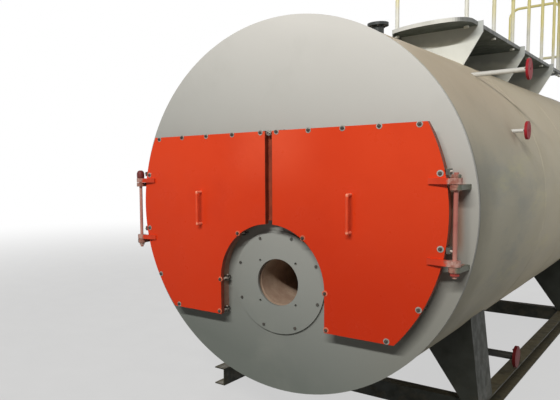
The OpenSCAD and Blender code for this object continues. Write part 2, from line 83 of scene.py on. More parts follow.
class Paint:
    """A node material built up in layers; colours are sockets or screen colours in 0 to 255."""

    def __init__(self, name):
        self.mat = bpy.data.materials.new(name)
        self.mat.use_nodes = True
        self.tree = self.mat.node_tree
        self.bsdf = self.tree.nodes["Principled BSDF"]
        self.coord = self.node("ShaderNodeTexCoord").outputs["Object"]

    def node(self, kind, **values):
        n = self.tree.nodes.new(kind)
        for key, value in values.items():
            setattr(n, key, value)
        return n

    def link(self, a, b):
        self.tree.links.new(a, b)

    def mapped(self, scale, turn=0.0):
        """Object coordinates, turned about Z and stretched by a scale for each axis."""
        m = self.node("ShaderNodeMapping")
        m.inputs["Rotation"].default_value = (0, 0, turn)
        m.inputs["Scale"].default_value = scale
        self.link(self.coord, m.inputs["Vector"])
        return m.outputs["Vector"]

    def noise(self, scale, detail=3.0, rough=0.55, stretch=None, distort=0.0):
        n = self.node("ShaderNodeTexNoise")
        n.inputs["Scale"].default_value = scale
        n.inputs["Detail"].default_value = detail
        n.inputs["Roughness"].default_value = rough
        n.inputs["Distortion"].default_value = distort
        self.link(self.mapped(stretch) if stretch else self.coord, n.inputs["Vector"])
        return n.outputs["Fac"]

    def split(self, vector, name):
        s = self.node("ShaderNodeSeparateXYZ")
        self.link(vector, s.inputs[0])
        return s.outputs[name]

    def axis(self, name):
        return self.split(self.coord, name)

    def normal(self, name):
        return self.split(self.node("ShaderNodeTexCoord").outputs["Normal"], name)

    def ramp(self, value, low, high, to_low=0.0, to_high=1.0, kind="SMOOTHSTEP"):
        """A value's way from one limit to the other, from 0 to 1 unless told otherwise."""
        m = self.node("ShaderNodeMapRange", interpolation_type=kind)
        for key, v in (("From Min", low), ("From Max", high), ("To Min", to_low), ("To Max", to_high)):
            m.inputs[key].default_value = v
        self.link(value, m.inputs["Value"])
        return m.outputs["Result"]

    def math(self, op, a, b=0.0):
        m = self.node("ShaderNodeMath", operation=op)
        for i, v in enumerate((a, b)):
            if isinstance(v, (int, float)):
                m.inputs[i].default_value = v
            else:
                self.link(v, m.inputs[i])
        return m.outputs[0]

    def product(self, first, *others):
        for other in others:
            first = self.math("MULTIPLY", first, other)
        return first

    def distance(self, value, middle=0.0):
        """How far a value lies from its middle, on either side."""
        return self.math("ABSOLUTE", self.math("SUBTRACT", value, middle))

    def frayed(self, value, noise, width):
        """A distance that a noise shifts to and fro, so that a limit on it isn't a straight line."""
        return self.math("ADD", value, self.ramp(noise, 0.3, 0.7, -width, width))

    def mix(self, fac, a, b):
        m = self.node("ShaderNodeMix", data_type="RGBA")
        self.link(fac, m.inputs["Factor"])
        for key, v in (("A", a), ("B", b)):
            socket = [s for s in m.inputs if s.name == key and s.type == "RGBA"][0]
            if isinstance(v, tuple):
                socket.default_value = linear(v)
            else:
                self.link(v, socket)
        return [s for s in m.outputs if s.type == "RGBA"][0]

    def blend(self, noise, a, b, low=0.3, high=0.7):
        """Two tones in the patches of a noise."""
        return self.mix(self.ramp(noise, low, high), a, b)

    def over(self, tone, colour, *factors):
        """Lays a colour over a tone, as strongly as the product of the factors."""
        return self.mix(self.product(*factors), tone, colour)

    def colour(self, value):
        self.link(value, self.bsdf.inputs["Base Color"])

    def rough(self, value, low, high):
        self.link(self.ramp(value, 0.3, 0.7, low, high), self.bsdf.inputs["Roughness"])

    def bump(self, value, depth, strength=1.0):
        b = self.node("ShaderNodeBump")
        b.inputs["Distance"].default_value = depth
        b.inputs["Strength"].default_value = strength
        self.link(value, b.inputs["Height"])
        self.link(b.outputs["Normal"], self.bsdf.inputs["Normal"])

    def fixed(self, **values):
        for key, v in values.items():
            self.bsdf.inputs[key.replace("_", " ")].default_value = v


# Materials of many pieces


def paint(name, base, other, dirt, rough, dirt_top, dirt_amount, gloss=0.3):
    """Sprayed paint: two close tones in large clouds, fine speckle, and dirt that gathers low down."""
    p = Paint(name)
    tone = p.blend(p.noise(1.7, 4.0, 0.6), base, other, 0.32, 0.68)
    tone = p.over(tone, dirt, p.ramp(p.noise(38.0, 4.0, 0.6), 0.60, 0.74), 0.35)
    low = p.ramp(p.axis("Z"), dirt_top, 0.0)
    patch = p.ramp(p.noise(5.0, 5.0, 0.65), 0.38, 0.66)
    p.colour(p.over(tone, dirt, low, patch, dirt_amount))
    p.rough(p.noise(9.0, 4.0, 0.6), *rough)
    p.bump(p.noise(260.0, 2.0, 0.5), 0.0002, 0.5)
    p.fixed(Specular_IOR_Level=gloss)
    return p.mat


def steel(name, base, other, rust, rough, metallic, rust_amount):
    """Bare or zinc-coated steel with rust that starts in patches."""
    p = Paint(name)
    tone = p.blend(p.noise(14.0, 4.0), base, other)
    p.colour(p.over(tone, rust, p.ramp(p.noise(55.0, 6.0, 0.7), 0.50, 0.66), rust_amount))
    p.rough(p.noise(40.0, 4.0), *rough)
    p.bump(p.noise(170.0, 4.0, 0.6), 0.0003, 0.6)
    p.fixed(Metallic=metallic)
    return p.mat


def castable(name, base, other, dark):
    """Cast refractory or insulating board: pitted, sandy, with sooty clouds."""
    p = Paint(name)
    tone = p.blend(p.noise(9.0, 6.0, 0.7), base, other)
    tone = p.over(tone, dark, p.ramp(p.noise(3.2, 4.0, 0.6), 0.52, 0.78), 0.45)
    p.colour(p.over(tone, dark, p.ramp(p.noise(85.0, 5.0, 0.7), 0.60, 0.70), 0.5))
    p.rough(p.noise(20.0), 0.8, 0.95)
    p.bump(p.noise(60.0, 6.0, 0.7), 0.002, 0.7)
    return p.mat


# Materials of the front


def plate_paint():
    """Light grey paint of the round plates, with painted shade that darkens it downwards, to the left and at
    the lower right, and brown painted shade with the doors' orange light beside the hinges.
    """
    p = Paint("plate_grey")
    aside = p.distance(p.axis("X"))
    tone = p.blend(p.noise(0.9, 3.0, 0.5), (219, 217, 211), (213, 211, 205))
    # Painted shade: the plate darkens downwards and towards the left, as the light falls off.
    slant = p.math("ADD", p.axis("Z"), p.product(p.axis("X"), 0.3))
    depth = p.math("POWER", p.ramp(slant, 2.5, 0.4, kind="LINEAR"), 0.8)
    tone = p.over(tone, (112, 117, 111), depth)
    # Painted shade on the lower right of the plate, under the right door and its lower hinge.
    right, low = p.ramp(p.axis("X"), 0.3, 1.0), p.ramp(p.axis("Z"), 2.1, 1.2)
    tone = p.over(tone, (112, 106, 90), right, low, 0.32)
    tone = p.over(tone, (164, 164, 154), p.ramp(p.noise(2.6, 5.0, 0.6), 0.50, 0.78), 0.14)
    tone = p.over(tone, (120, 116, 108), p.ramp(p.noise(60.0, 4.0, 0.7), 0.66, 0.74), 0.22)
    # Painted shade with orange light thrown back by the doors: a brown band beside the hinge pins at mid
    # height, on the front plate only.
    beside = p.product(p.ramp(aside, 0.90, 0.95), p.ramp(aside, PIN_X + 0.019, PIN_X - 0.019))
    level = p.ramp(p.distance(p.axis("Z"), AXIS_Z), 0.24, 0.12)
    in_front = p.ramp(p.axis("Y"), 0.0, -0.5)
    p.colour(p.over(tone, (150, 104, 78), beside, level, in_front, 0.7))
    p.rough(p.noise(6.0, 4.0, 0.6), 0.42, 0.58)
    p.bump(p.noise(190.0, 2.0, 0.5), 0.00025, 0.5)
    p.fixed(Specular_IOR_Level=0.2)
    return p.mat


def door_paint():
    """Orange paint of the doors, with painted shade deeper at the foot, painted light to the left and a
    painted highlight at the seam's top, and painted shade in brown on the edges and in the seam.
    """
    p = Paint("door_orange")
    aside, height = p.distance(p.axis("X")), p.axis("Z")
    tone = p.blend(p.noise(1.3, 3.0, 0.5), (222, 68, 30), (214, 60, 24))
    # Painted light and shade: deeper orange towards the foot, lighter towards the left.
    tone = p.over(tone, (192, 44, 8), p.ramp(height, 1.85, 0.75), 0.8)
    tone = p.over(tone, (238, 72, 32), p.ramp(p.axis("X"), 0.3, -0.5), 0.3)
    # Painted highlight: paler orange at the top of the seam.
    tone = p.over(tone, (240, 96, 62), p.ramp(aside, 0.40, 0.05), p.ramp(height, 1.45, 1.80), 0.55)
    tone = p.over(tone, (190, 40, 10), p.ramp(p.noise(2.4, 5.0, 0.6), 0.52, 0.8), 0.22)
    tone = p.over(tone, (226, 140, 108), p.ramp(p.noise(45.0, 4.0, 0.7), 0.64, 0.76), 0.12)
    # Painted shade: dark brown on the doors' edges in the narrow seam.
    seam_shade = p.blend(p.noise(18.0), (140, 58, 38), (112, 46, 32))
    tone = p.over(tone, seam_shade, p.ramp(aside, 0.026, 0.023))
    # Painted shade: brown on the doors' edge faces behind their front face, away from the seam.
    brown = p.blend(p.noise(22.0), (150, 66, 46), (118, 58, 44))
    edge = p.ramp(p.distance(p.normal("Y")), 0.5, 0.3)
    off_seam = p.ramp(aside, 0.05, 0.06)
    behind_face = p.ramp(p.axis("Y"), DOOR_FACE - 0.0002, DOOR_FACE + 0.0006)
    p.colour(p.over(tone, brown, edge, off_seam, behind_face))
    p.rough(p.noise(7.0, 4.0, 0.6), 0.26, 0.40)
    p.bump(p.noise(120.0, 2.0, 0.5), 0.0004, 0.4)
    p.fixed(Specular_IOR_Level=0.14, Coat_Weight=0.05, Coat_Roughness=0.18)
    return p.mat


def hinge_arm_paint():
    """The doors' orange on the flat of a hinge arm, thin and greyish pink over the boss."""
    p = Paint("hinge_arm_paint")
    tone = p.blend(p.noise(12.0), (214, 66, 34), (196, 54, 24))
    bare = p.blend(p.noise(40.0, 4.0, 0.6), (188, 150, 138), (150, 92, 78), 0.35, 0.65)
    edge = p.frayed(p.distance(p.axis("X")), p.noise(26.0), 0.015)
    p.colour(p.over(tone, bare, p.ramp(edge, PIN_X - 0.046, PIN_X - 0.021)))
    p.rough(p.noise(20.0), 0.34, 0.52)
    p.bump(p.noise(200.0, 2.0), 0.0003, 0.5)
    p.fixed(Specular_IOR_Level=0.3)
    return p.mat


def handle_paint():
    """Orange paint of the door handles, with a paler painted highlight at their two ends."""
    p = Paint("handle_orange")
    low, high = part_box("handle_right")
    reach = (high.z - low.z) / 2
    tone = p.blend(p.noise(14.0), (232, 84, 46), (220, 72, 36))
    away = p.frayed(p.distance(p.axis("Z"), (low.z + high.z) / 2), p.noise(60.0), 0.004)
    # Painted highlight: paler tone towards both ends of the handle.
    p.colour(p.over(tone, (246, 158, 126), p.ramp(away, reach - 0.022, reach - 0.010), 0.85))
    p.rough(p.noise(20.0), 0.3, 0.45)
    p.bump(p.noise(180.0, 2.0), 0.0003, 0.4)
    p.fixed(Specular_IOR_Level=0.3)
    return p.mat


def bracket_paint():
    """Grey-green hinge brackets, rubbed to a reddish brown round the pin."""
    p = Paint("hinge_grey")
    tone = p.blend(p.noise(12.0), (108, 110, 94), (90, 92, 80))
    rubbed = p.blend(p.noise(40.0, 4.0, 0.6), (168, 124, 108), (132, 78, 66), 0.35, 0.65)
    edge = p.frayed(p.distance(p.axis("X")), p.noise(26.0), 0.005)
    p.colour(p.over(tone, rubbed, p.ramp(edge, PIN_X + 0.019, PIN_X + 0.007)))
    p.rough(p.noise(20.0), 0.4, 0.58)
    p.bump(p.noise(200.0, 2.0), 0.0003, 0.5)
    p.fixed(Specular_IOR_Level=0.3)
    return p.mat


def smokebox_paint():
    """Grey-brown frame behind the doors, browned at the seam, its outer rims and the burner arch, where the
    brown is painted lighter and redder to stand for the orange light the doors throw into the shade there.
    """
    p = Paint("smokebox_grey")
    aside = p.distance(p.axis("X"))
    above = p.math("MAXIMUM", p.math("SUBTRACT", p.axis("Z"), BURNER_Z))
    radius = p.math("POWER", p.math("ADD", p.product(aside, aside), p.product(above, above)), 0.5)
    tone = p.blend(p.noise(2.0, 4.0, 0.6), (92, 88, 74), (78, 76, 64), 0.32, 0.68)
    # Painted light: the brown round the burner arch, at the seam and on the outer rims is lighter and
    # redder, for the orange light the doors throw into the shade there.
    arch = p.blend(p.noise(16.0, 4.0), (176, 134, 116), (158, 116, 98))
    tone = p.over(tone, arch, p.ramp(radius, 0.47, 0.41))
    seam = p.blend(p.noise(16.0, 4.0), (150, 66, 42), (122, 52, 34))
    tone = p.over(tone, seam, p.ramp(aside, 0.09, 0.06))
    rim = p.blend(p.noise(16.0, 4.0), (176, 104, 72), (148, 84, 58))
    tone = p.over(tone, rim, p.ramp(aside, 0.88, 0.93), 0.85)
    p.colour(p.over(tone, (52, 44, 36), p.ramp(p.noise(38.0, 4.0, 0.6), 0.58, 0.72), 0.35))
    p.rough(p.noise(9.0, 4.0, 0.6), 0.5, 0.68)
    p.bump(p.noise(180.0, 3.0, 0.6), 0.0004, 0.5)
    p.fixed(Specular_IOR_Level=0.25)
    return p.mat


# Materials of the shell, the walkway and the floor frame


def jacket_sheet():
    """Coated cladding sheet under thin film, with painted reflections that make its side and rear paler and
    lay blue-grey haze and yellow gleams on the side, and painted shade at its foot, beside the front plate
    and in a dark line behind it.
    """
    p = Paint("jacket_sheet")
    height, behind = p.axis("Z"), p.math("SUBTRACT", p.axis("Y"), FRONT_Y + PLATE_T)
    tone = p.blend(p.noise(1.1, 3.0, 0.5), (216, 201, 177), (208, 193, 169))
    film = p.ramp(p.noise(3.4, 6.0, 0.65, distort=0.8), 0.50, 0.74)
    tone = p.over(tone, (178, 172, 150), film, 0.14)
    # Painted reflection: the shell's side below the crown is paler.
    low = p.ramp(height, 2.1, 1.5)
    tone = p.over(tone, (206, 204, 186), low, 0.8)
    # Painted reflections of the film on the shell's side: blue-grey haze and yellow gleams.
    haze = p.ramp(p.noise(3.6, 5.0, 0.6, stretch=(1.0, 0.3, 1.0)), 0.46, 0.68)
    tone = p.over(tone, (162, 168, 168), haze, low, 0.42)
    gleam = p.ramp(p.noise(4.4, 5.0, 0.6, stretch=(1.0, 0.25, 1.2)), 0.52, 0.70)
    tone = p.over(tone, (230, 224, 178), gleam, low, 0.4)
    # Painted shade: darker towards the foot of the shell.
    tone = p.over(tone, (168, 160, 138), p.ramp(height, 1.25, 0.6), 0.6)
    # Painted reflection: paler towards the rear, where the film is seen at a grazing angle.
    tone = p.over(tone, (246, 234, 206), p.ramp(p.axis("Y"), -2.0, -0.4), 0.6)
    # Painted shade: a frayed darker band on the lower side next to the front plate.
    plate_edge_shade = p.ramp(p.frayed(behind, p.noise(3.0, 4.0), 0.08), 0.42, 0.0)
    tone = p.over(tone, (150, 146, 130), plate_edge_shade, p.ramp(height, 2.0, 1.4), 0.6)
    # Painted shadow: a dark line on the sheet right behind the front plate's rim.
    tone = p.over(tone, (56, 52, 42), p.ramp(behind, 0.034, 0.014, 0.0, 0.8))
    p.colour(p.over(tone, (122, 115, 98), p.ramp(p.noise(24.0, 6.0, 0.7), 0.56, 0.74), 0.10))
    p.rough(p.noise(4.0, 4.0, 0.6), 0.46, 0.58)
    p.bump(p.noise(2.4, 3.0, 0.5), 0.002, 0.25)
    p.fixed(Specular_IOR_Level=0.02)
    return p.mat


def support_paint():
    """Off-white primer on the plates under the walkway, stained, with painted shade that greys it just below
    the deck.
    """
    p = Paint("support_white")
    tone = p.blend(p.noise(3.0), (230, 232, 225), (219, 220, 211))
    stain = p.ramp(p.noise(7.0, 5.0, 0.7, stretch=(1.0, 1.0, 0.4)), 0.52, 0.74)
    tone = p.over(tone, (178, 174, 156), stain, 0.22)
    # Painted shade: greyer in a frayed band just below the deck.
    under_deck_shade = p.ramp(p.frayed(p.axis("Z"), p.noise(5.0, 4.0), 0.02), 2.49, 2.55)
    p.colour(p.over(tone, (150, 158, 160), under_deck_shade, 0.55))
    p.rough(p.noise(11.0), 0.45, 0.62)
    p.bump(p.noise(160.0, 2.0), 0.0003, 0.5)
    return p.mat


def deck_paint():
    """Grey walkway with raised treads and white edges, with painted shade on its dark underside and on its
    grey right edge.
    """
    p = Paint("deck_grey")
    on_top = p.ramp(p.normal("Z"), 0.4, 0.6)
    top = p.blend(p.noise(4.0, 5.0), (158, 160, 156), (138, 140, 136))
    white = p.blend(p.noise(6.0, 4.0), (236, 236, 230), (218, 218, 210))
    grey = p.blend(p.noise(14.0, 5.0), (128, 130, 126), (100, 102, 99), 0.35, 0.65)
    # Painted shade: the underside is dark.
    under = p.blend(p.noise(6.0, 4.0), (84, 92, 86), (70, 77, 72))
    # Painted shade: the edge facing right is grey, the others white.
    edge = p.over(white, grey, p.ramp(p.normal("X"), 0.30, 0.75))
    p.colour(p.over(p.over(edge, top, on_top), under, p.ramp(p.normal("Z"), -0.4, -0.6)))
    p.rough(p.noise(12.0), 0.45, 0.65)
    cells = p.node("ShaderNodeTexVoronoi", feature="F1")
    cells.inputs["Scale"].default_value = 26.0
    cells.inputs["Randomness"].default_value = 0.0
    p.link(p.mapped((1.0, 2.6, 1.0), math.radians(45)), cells.inputs["Vector"])
    p.bump(p.product(p.ramp(cells.outputs["Distance"], 0.34, 0.22), on_top), 0.0015, 0.8)
    return p.mat


def rail_paint():
    """Railing tube: white at the feet, pale yellow above, rubbed in places."""
    p = Paint("rail_yellow")
    rise = p.frayed(p.math("SUBTRACT", p.axis("Z"), DECK_TOP), p.noise(6.0), 0.08)
    tone = p.mix(p.ramp(rise, 0.02, 0.42), (238, 237, 226), (240, 228, 150))
    p.colour(p.over(tone, (186, 176, 132), p.ramp(p.noise(50.0, 5.0, 0.7), 0.60, 0.68), 0.35))
    p.rough(p.noise(16.0), 0.32, 0.5)
    p.bump(p.noise(240.0, 2.0), 0.0002, 0.5)
    return p.mat


def frame_paint():
    """Dark primer of the legs and beams, with floor dust on its ledges, splashes and rubbed rust."""
    p = Paint("frame_dark")
    tone = p.blend(p.noise(2.4, 4.0, 0.6), (53, 55, 48), (43, 45, 39))
    tone = p.over(tone, (98, 66, 48), p.ramp(p.noise(70.0, 5.0, 0.7), 0.64, 0.70), 0.6)
    low, drops = p.ramp(p.axis("Z"), 0.35, 0.02), p.ramp(p.noise(9.0, 5.0, 0.7), 0.45, 0.65)
    tone = p.over(tone, (86, 80, 64), low, drops, 0.6)
    ledge, dust = p.ramp(p.normal("Z"), 0.4, 0.8), p.ramp(p.noise(6.0, 5.0, 0.7), 0.25, 0.55)
    p.colour(p.over(tone, (98, 90, 68), ledge, dust, 0.85))
    p.rough(p.noise(15.0, 4.0), 0.5, 0.75)
    p.bump(p.noise(120.0, 4.0, 0.6), 0.0005, 0.5)
    p.fixed(Specular_IOR_Level=0.3)
    return p.mat


PLATE = plate_paint()
DOOR = door_paint()
HANDLE = handle_paint()
ARM = hinge_arm_paint()
JACKET = jacket_sheet()
SUPPORT = support_paint()
DECK = deck_paint()
RAIL = rail_paint()
SMOKEBOX = smokebox_paint()
BRACKET = bracket_paint()
FRAME = frame_paint()

# Paints: two tones, dirt, roughness, the height that dirt reaches up to, and its strength
PIN = paint("pin_red", (176, 104, 92), (196, 146, 132), (134, 52, 44), (0.3, 0.45), 3.0, 0.6)
DARK = paint("dark_fitting", (66, 70, 68), (54, 58, 58), (96, 84, 66), (0.4, 0.6), 3.0, 0.25)
PIPE = paint("pipe_white", (216, 216, 210), (204, 203, 196), (160, 154, 138), (0.3, 0.45), 3.2, 0.25)
FLANGE = paint("flange_red", (172, 44, 52), (154, 38, 46), (92, 36, 34), (0.42, 0.58), 3.2, 0.35, 0.1)
# Painted shade: the drain flange's red is darker than the side flanges'; its dirt gathers up to 0.4 m.
DRAIN_RED_SHADED = paint("flange_red_shaded_dusty", (122, 28, 30), (106, 24, 27), (84, 44, 36), (0.45, 0.6), 0.4, 0.6, 0.1)
LUG = paint("lug_grey", (142, 142, 124), (120, 120, 104), (84, 66, 52), (0.45, 0.6), 3.2, 0.35)
WASHER = paint("washer_orange", (226, 128, 98), (206, 96, 66), (130, 76, 58), (0.35, 0.5), 3.2, 0.4)
NUT_RED = paint("nut_red", (176, 78, 68), (152, 60, 52), (96, 44, 38), (0.4, 0.55), 3.2, 0.3)
PIN_END = paint("pin_end", (204, 176, 162), (188, 156, 142), (134, 92, 80), (0.35, 0.5), 3.2, 0.3)
RED_CAP = paint("cap_red", (122, 40, 34), (104, 34, 30), (70, 30, 26), (0.35, 0.5), 3.2, 0.3)

# Steels: two tones, rust, roughness, how metallic, and the strength of the rust
BOILER_STEEL = steel("boiler_steel", (112, 104, 96), (92, 84, 78), (122, 76, 50), (0.5, 0.75), 0.4, 0.6)
ZINC = steel("bolt_zinc", (176, 174, 166), (150, 148, 140), (112, 92, 70), (0.28, 0.45), 0.6, 0.3)
STUD = steel("stud_pale", (206, 196, 184), (188, 176, 164), (132, 104, 88), (0.4, 0.6), 0.0, 0.4)
DARK_BOLT = steel("bolt_dark", (84, 82, 76), (68, 66, 62), (96, 70, 52), (0.4, 0.6), 0.5, 0.4)
WELD = steel("weld_bead", (150, 148, 142), (126, 122, 116), (110, 90, 72), (0.45, 0.65), 0.4, 0.3)

THROAT = castable("refractory", (176, 152, 130), (156, 128, 108), (84, 66, 56))
BOARD = castable("lining_board", (206, 198, 178), (190, 178, 156), (122, 104, 86))

FINISHES = {
    PLATE: ["front_plate", "burner_plate", "rear_plate", "rear_cover"],
    SMOKEBOX: ["smokebox_frame"],
    DOOR: ["door_left", "door_right"],
    HANDLE: ["handle_left", "handle_right"],
    ARM: ["arm_left_upper", "arm_left_lower", "arm_right_upper", "arm_right_lower"],
    BRACKET: ["bracket_left_upper", "bracket_left_lower", "bracket_right_upper", "bracket_right_lower"],
    PIN: ["pin_left", "pin_right"],
    JACKET: ["shell_jacket"],
    BOILER_STEEL: ["tube_plate", "furnace_tube"],
    THROAT: ["burner_throat"],
    BOARD: ["lining_left", "lining_right"],
    DARK: ["flue_outlet", "top_nozzle", "drain_pipe"],
    DECK: ["deck"],
    SUPPORT: ["support_front", "support_middle", "support_rear"],
    RAIL: ["railing_right", "railing_front", "railing_rear"],
    PIPE: ["side_pipe_upper", "side_pipe_lower"],
    FLANGE: ["side_flange_upper", "side_flange_lower"],
    DRAIN_RED_SHADED: ["drain_flange"],
    FRAME: [
        "leg_front_left", "leg_front_right", "leg_rear_left", "leg_rear_right",
        "beam_left", "beam_right", "cross_front", "cross_middle", "cross_rear",
    ],
}
for finish, names in FINISHES.items():
    for name in names:
        nodes[name].data.materials.clear()
        nodes[name].data.materials.append(finish)


# Tools for shapes

SHARP_ANGLE = math.radians(32)
HEXAGON = 6


def along(at, axis, spin=0.0):
    """Matrix that stands a shape's Z axis on a point, in a direction."""
    turn = Vector(axis).to_track_quat("Z", "Y").to_matrix().to_4x4()
    return Matrix.Translation(at) @ turn @ Matrix.Rotation(spin, 4, "Z")


def face_middle(low, high, axis):
    """Middle of a box's face on one side."""
    return (low + high) / 2 + axis * (high - low).dot(axis) / 2


class Shape:
    """Collects turned and prismatic forms into one mesh that rides on a body."""

    def __init__(self, name, body, slot, *first):
        self.name, self.body, self.slot = name, body, slot
        self.mesh = bmesh.new()
        self.finishes = list(first)

    def index(self, finish):
        """Number of a finish in the piece's list, which grows as finishes are used."""
        if finish not in self.finishes:
            self.finishes.append(finish)
        return self.finishes.index(finish)

    def turned(self, at, axis, profile, finish, steps=24, spin=0.0):
        """Turns a profile of (radius, height) points round an axis; six steps make a hexagon."""
        place, index = along(at, axis, spin), self.index(finish)
        rings = []
        for r, h in profile:
            if r < 1e-6:
                rings.append([self.mesh.verts.new(place @ Vector((0, 0, h)))])
                continue
            ring = []
            for i in range(steps):
                a = 2 * math.pi * i / steps
                ring.append(self.mesh.verts.new(place @ Vector((r * math.cos(a), r * math.sin(a), h))))
            rings.append(ring)
        for low, high in zip(rings, rings[1:]):
            for i in range(steps):
                j = (i + 1) % steps
                quad = [low[i % len(low)], low[j % len(low)], high[j % len(high)], high[i % len(high)]]
                corners = [v for k, v in enumerate(quad) if v not in quad[:k]]
                if len(corners) > 2:
                    self.mesh.faces.new(corners).material_index = index

    def drum(self, at, axis, r, h, soft, finish, steps, spin=0.0):
        """A closed drum or prism with both rims chamfered."""
        profile = [(0, 0), (r - soft, 0), (r, soft), (r, h - soft), (r - soft, h), (0, h)]
        self.turned(at, axis, profile, finish, steps, spin)

    def nut(self, at, axis, r, h, finish, spin=0.0):
        self.drum(at, axis, r, h, 0.14 * h, finish, HEXAGON, spin)

    def rod(self, start, end, r, finish):
        self.drum(start, end - start, r, (end - start).length, 0.2 * r, finish, 16)

    def washer(self, at, axis, r, bore, t, finish):
        soft = 0.2 * t
        ring = [(bore, 0), (r - soft, 0), (r, soft), (r, t - soft), (r - soft, t), (bore, t), (bore, 0)]
        self.turned(at, axis, ring, finish, 28)

    def block(self, at, axis, size, finish, soft=0.001):
        """A block with its foot on a point and its height along an axis, and softened edges.

        The finish lies on the softened edges; the flats between them keep the piece's first one.
        """
        made = bmesh.ops.create_cube(self.mesh, size=1.0)["verts"]
        lift = Matrix.Translation((0, 0, size[2] / 2)) @ Matrix.Diagonal((*size, 1.0))
        bmesh.ops.transform(self.mesh, matrix=along(at, axis) @ lift, verts=made)
        edges = list({e for v in made for e in v.link_edges})
        faces = bmesh.ops.bevel(self.mesh, geom=edges, offset=soft, segments=2, affect="EDGES")["faces"]
        for f in {f for v in made if v.is_valid for f in v.link_faces} | set(faces):
            f.material_index = self.index(finish)

    def bead(self, at, axis, r, width, finish, seed):
        """A weld bead round a tube, with the ripples of its passes."""
        place, index = along(at, axis), self.index(finish)
        steps, around = 96, 8
        rings = []
        for i in range(steps):
            a = 2 * math.pi * i / steps
            w = width * (1 + 0.14 * math.sin(24 * a + seed) + 0.08 * math.sin(11 * a + 2 * seed))
            ring = []
            for k in range(around):
                b = 2 * math.pi * k / around
                out = r + w * math.cos(b)
                spot = Vector((out * math.cos(a), out * math.sin(a), w * math.sin(b)))
                ring.append(self.mesh.verts.new(place @ spot))
            rings.append(ring)
        for i in range(steps):
            here, there = rings[i], rings[(i + 1) % steps]
            for k in range(around):
                m = (k + 1) % around
                self.mesh.faces.new((here[k], there[k], there[m], here[m])).material_index = index

    def done(self):
        bmesh.ops.recalc_face_normals(self.mesh, faces=self.mesh.faces)
        data = bpy.data.meshes.new(self.name)
        self.mesh.to_mesh(data)
        self.mesh.free()
        for finish in self.finishes:
            data.materials.append(finish)
        data.shade_smooth()
        data.set_sharp_from_angle(angle=SHARP_ANGLE)
        piece = bpy.data.objects.new(self.name, data)
        bpy.context.scene.collection.objects.link(piece)
        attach(piece, self.body)


def fastener(shape, at, axis, r, washer_finish, nut_finish, spin=0.0):
    """Washer, hexagon nut and the end of its stud, sized from the nut's corner radius."""
    washer_t, nut_h, stud_h = 0.2 * r, 0.8 * r, 0.55 * r
    shape.washer(at, axis, 1.6 * r, 0.4 * r, washer_t, washer_finish)
    shape.nut(at + axis * washer_t, axis, r, nut_h, nut_finish, spin)
    top = at + axis * (washer_t + nut_h)
    shape.rod(top, top + axis * stud_h, 0.5 * r, nut_finish)


# Fasteners of the doors

# Distance from the middle plane and height above the shell's axis, and the way out of the door's edge
DOOR_BOLTS = [
    (0.054, 0.438, 0, 1), (0.257, 0.436, 0, 1), (0.457, 0.436, 0, 1), (0.656, 0.436, 0, 1),
    (0.856, 0.433, 0, 1), (0.955, 0.198, 0.98, 0.20), (0.962, -0.160, 0.986, -0.165),
    (0.864, -0.467, 0.878, -0.479), (0.704, -0.652, 0, -1), (0.366, -0.650, -1, 0),
    (0.358, -0.449, -1, 0), (0.222, -0.155, -0.605, -0.797),
]
DOOR_NUT_R = 0.0100
DOOR_NUT_TURN = 0.5

# Swing bolts: rod, cross pin, and the two ears that hold it, which stand clear of the front plate
ROD_R = 0.0075
ROD_FOOT_Y = FRONT_Y - 0.018
CROSS_R, CROSS_HALF, CROSS_Y = 0.0060, 0.021, FRONT_Y - 0.032
EAR_T, EAR_W, EAR_H = 0.007, 0.034, 0.024
EAR_ASIDE, EAR_INSET, EAR_Y = 0.012, 0.011, FRONT_Y - 0.034

# Lugs outside the door's edge: a block on the frame's rim, one beside it, and the end of a stud
RIM_Y = FRAME_FACE + 0.010
RIM_BLOCK, RIM_BLOCK_INSET, RIM_BLOCK_LIFT = (0.028, 0.012, 0.048), 0.012, 0.0075
SIDE_BLOCK, SIDE_BLOCK_OUT = (0.017, 0.030, 0.044), 0.034
RIM_STUD_R, RIM_STUD_LENGTH, RIM_STUD_OUT, RIM_STUD_LIFT = 0.0055, 0.028, 0.026, 0.034


def at_depth(spot, y):
    """A spot of the middle plane of all depths, moved to one depth."""
    return Vector((spot.x, y, spot.z))


def swing_bolt(lugs, spot, out):
    """Rod of a swing bolt up to the door's back, on its cross pin between two ears."""
    across = out.cross(BACK).normalized()
    lugs.rod(at_depth(spot, ROD_FOOT_Y), at_depth(spot, DOOR_BACK + 0.0005), ROD_R, STUD)
    middle = at_depth(spot, CROSS_Y)
    lugs.rod(middle - across * CROSS_HALF, middle + across * CROSS_HALF, CROSS_R, STUD)
    for s in (-1, 1):
        foot = at_depth(spot, EAR_Y) - out * EAR_INSET + across * s * EAR_ASIDE
        x_lies_across = abs(along(foot, out).col[0].to_3d().dot(across)) > 0.5
        size = (EAR_T, EAR_W, EAR_H) if x_lies_across else (EAR_W, EAR_T, EAR_H)
        lugs.block(foot, out, size, DARK_BOLT)


def rim_lug(lugs, spot, out):
    """Lug on the smokebox frame's rim, outside the door's edge."""
    sill = at_depth(spot, RIM_Y)
    lugs.block(sill - out * RIM_BLOCK_INSET + FORWARD * RIM_BLOCK_LIFT, out, RIM_BLOCK, LUG)
    lugs.block(sill + out * SIDE_BLOCK_OUT, FORWARD, SIDE_BLOCK, LUG)
    stud = sill + out * RIM_STUD_OUT + FORWARD * RIM_STUD_LIFT
    lugs.rod(stud, stud + out * RIM_STUD_LENGTH, RIM_STUD_R, STUD)


